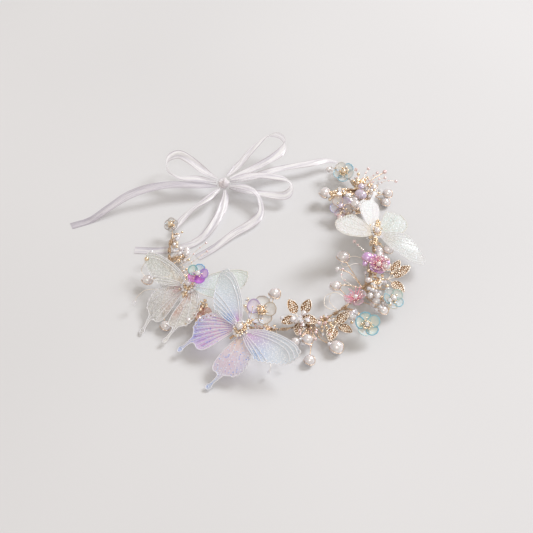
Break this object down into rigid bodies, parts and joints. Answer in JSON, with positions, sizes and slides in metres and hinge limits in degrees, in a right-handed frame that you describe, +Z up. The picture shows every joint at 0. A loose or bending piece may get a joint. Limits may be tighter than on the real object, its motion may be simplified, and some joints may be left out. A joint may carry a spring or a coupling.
{
  "type": "flower crown",
  "caption": "Open wire hoop carrying film butterflies, beaded flowers, pearls and pierced leaf sprigs, closed at the back by a ribbon tied in a bow.",
  "frame": {"origin": "on the surface that the crown lies on, under the middle of the headpiece's box, ribbons and bow left out", "axes": "+Z up, away from that surface; -Y towards the front of the crown, where the largest butterfly is; +X to the right of a viewer who faces +Y"},
  "size_m": [0.2797, 0.2512, 0.0438],
  "materials": {
    "gilt_wire": "thin champagne-gold plated craft wire, twisted",
    "gilt_leaf": "pierced and stamped sheet brass with rose-gold plating",
    "satin_ribbon": "white sheer-edged satin ribbon, 7 mm wide",
    "pearl": "moulded beads with pearlescent lacquer",
    "ivory_film": "embossed ivory film with raised veins and fine glitter",
    "opal_film": "embossed film, pale blue to lilac and pink, with raised veins and glitter",
    "pale_petal": "clear resin petals with a light rainbow sheen",
    "blue_petal": "aqua translucent petals",
    "pink_petal": "pink to violet translucent petals",
    "crystal": "cut clear glass beads"
  },
  "bodies": {
    "crown": {"base_wire": "gilt_wire", "bow_knot": "satin_ribbon", "tie_ribbon_left": "satin_ribbon", "tie_ribbon_right": "satin_ribbon", "bow_loop_left": "satin_ribbon", "bow_loop_upper": "satin_ribbon", "bow_loop_lower": "satin_ribbon", "ribbon_tail_long": "satin_ribbon", "ribbon_tail_front": "satin_ribbon", "ribbon_tail_curl": "satin_ribbon", "left_butterfly_body": "gilt_leaf", "left_butterfly_pearl": "pearl", "front_butterfly_body": "gilt_leaf", "front_butterfly_pearl": "pearl", "right_butterfly_body": "gilt_leaf", "right_butterfly_pearl": "pearl", "iridescent_flower_petals": "pink_petal", "iridescent_flower_centre": "pearl", "clear_flower_petals": "pale_petal", "clear_flower_centre": "pearl", "blue_flower_petals": "blue_petal", "blue_flower_centre": "pearl", "pink_flower_petals": "pink_petal", "pink_flower_centre": "pearl", "purple_flower_petals": "pink_petal", "purple_flower_centre": "pearl", "green_flower_petals": "blue_petal", "green_flower_centre": "pearl", "aqua_flower_petals": "blue_petal", "aqua_flower_centre": "pearl", "glass_flower_petals": "pale_petal", "glass_flower_centre": "pearl", "crystal_flower_petals": "crystal", "crystal_flower_centre": "pearl", "pearl_left": "pearl", "pearl_lower_left": "pearl", "pearl_front_large": "pearl", "pearl_front_small": "pearl", "pearl_inner_left": "pearl", "pearl_inner_right": "pearl", "pearl_back": "pearl", "leaf_sprig_front": "gilt_leaf", "leaf_sprig_side": "gilt_leaf", "leaf_sprig_right": "gilt_leaf", "spray_left_wire": "gilt_wire", "spray_front_wire": "gilt_wire", "spray_inner_wire": "gilt_wire", "spray_top_wire": "gilt_wire"},
    "left_butterfly_left_wings": {"left_butterfly_forewing_left": "ivory_film", "left_butterfly_hindwing_left": "ivory_film"},
    "left_butterfly_right_wings": {"left_butterfly_forewing_right": "ivory_film", "left_butterfly_hindwing_right": "ivory_film"},
    "front_butterfly_left_wings": {"front_butterfly_forewing_left": "opal_film", "front_butterfly_hindwing_left": "opal_film"},
    "front_butterfly_right_wings": {"front_butterfly_forewing_right": "opal_film", "front_butterfly_hindwing_right": "opal_film"},
    "right_butterfly_left_wings": {"right_butterfly_forewing_left": "ivory_film", "right_butterfly_hindwing_left": "ivory_film"},
    "right_butterfly_right_wings": {"right_butterfly_forewing_right": "ivory_film", "right_butterfly_hindwing_right": "ivory_film"}
  },
  "joints": [
    {"name": "front_butterfly_left_wings_bend", "type": "hinge", "parent": "crown", "child": "front_butterfly_left_wings", "pos_m": [-0.03247, -0.0717, 0.02186], "axis": [0.772, 0.5013, 0.3907], "range_deg": [0, 40]},
    {"name": "front_butterfly_right_wings_bend", "type": "hinge", "parent": "crown", "child": "front_butterfly_right_wings", "pos_m": [-0.03036, -0.07486, 0.02174], "axis": [-0.772, -0.5013, -0.3907], "range_deg": [0, 40]},
    {"name": "left_butterfly_left_wings_bend", "type": "hinge", "parent": "crown", "child": "left_butterfly_left_wings", "pos_m": [-0.0721, -0.02896, 0.01924], "axis": [0.4452, 0.8373, 0.3173], "range_deg": [0, 40]},
    {"name": "left_butterfly_right_wings_bend", "type": "hinge", "parent": "crown", "child": "left_butterfly_right_wings", "pos_m": [-0.06881, -0.03083, 0.01956], "axis": [-0.4452, -0.8373, -0.3173], "range_deg": [0, 15]},
    {"name": "right_butterfly_left_wings_bend", "type": "hinge", "parent": "crown", "child": "right_butterfly_left_wings", "pos_m": [0.07422, 0.02492, 0.01928], "axis": [-0.1736, -0.9847, -0.0174], "range_deg": [0, 40]},
    {"name": "right_butterfly_right_wings_bend", "type": "hinge", "parent": "crown", "child": "right_butterfly_right_wings", "pos_m": [0.07107, 0.02547, 0.01972], "axis": [0.1736, 0.9847, 0.0174], "range_deg": [0, 40]}
  ]
}
